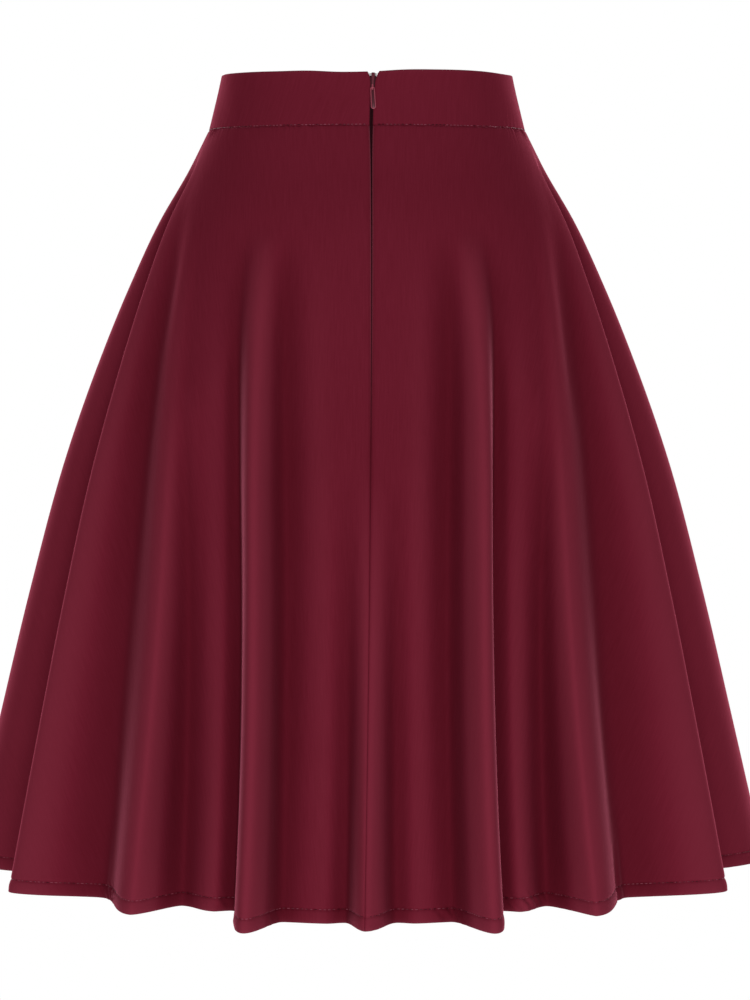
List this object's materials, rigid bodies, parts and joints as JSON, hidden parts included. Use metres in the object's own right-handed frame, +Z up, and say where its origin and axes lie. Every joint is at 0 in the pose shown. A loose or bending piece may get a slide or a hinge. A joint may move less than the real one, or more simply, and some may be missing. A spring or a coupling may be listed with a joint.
{
  "type": "a-line skirt",
  "caption": "Knee-length flared a-line skirt with a set-in waistband and a concealed centre-back zip, hanging open and filled out in soft flutes.",
  "frame": {"origin": "middle of the waist seam, where the band meets the skirt and the wearer holds it up", "axes": "+Z up; the wearer faces +Y, so the centre-back zip is at -Y and the wearer's right is at +X"},
  "size_m": [0.6464, 0.5442, 0.628],
  "materials": {
    "cloth": "smooth cotton twill with a soft sheen",
    "zip_tape": "woven polyester tape",
    "zip_coil": "dyed coil",
    "zip_paint": "burgundy paint, semi-gloss"
  },
  "bodies": {
    "skirt": {"skirt_back_left": "cloth", "skirt_back_right": "cloth", "skirt_front": "cloth", "waistband_back_left": "cloth", "waistband_back_right": "cloth", "waistband_front": "cloth", "zip_tape_left": "zip_tape", "zip_tape_right": "zip_tape", "zip_chain": "zip_coil", "zip_slider": "zip_paint"},
    "pull_tab": {"zip_pull_tab": "zip_paint"}
  },
  "joints": [
    {"name": "tab_swing", "type": "hinge", "parent": "skirt", "child": "pull_tab", "pos_m": [0.00437, -0.08856, 0.02839], "axis": [-0.9986, 0, 0.0527], "range_deg": [0, 150]}
  ]
}
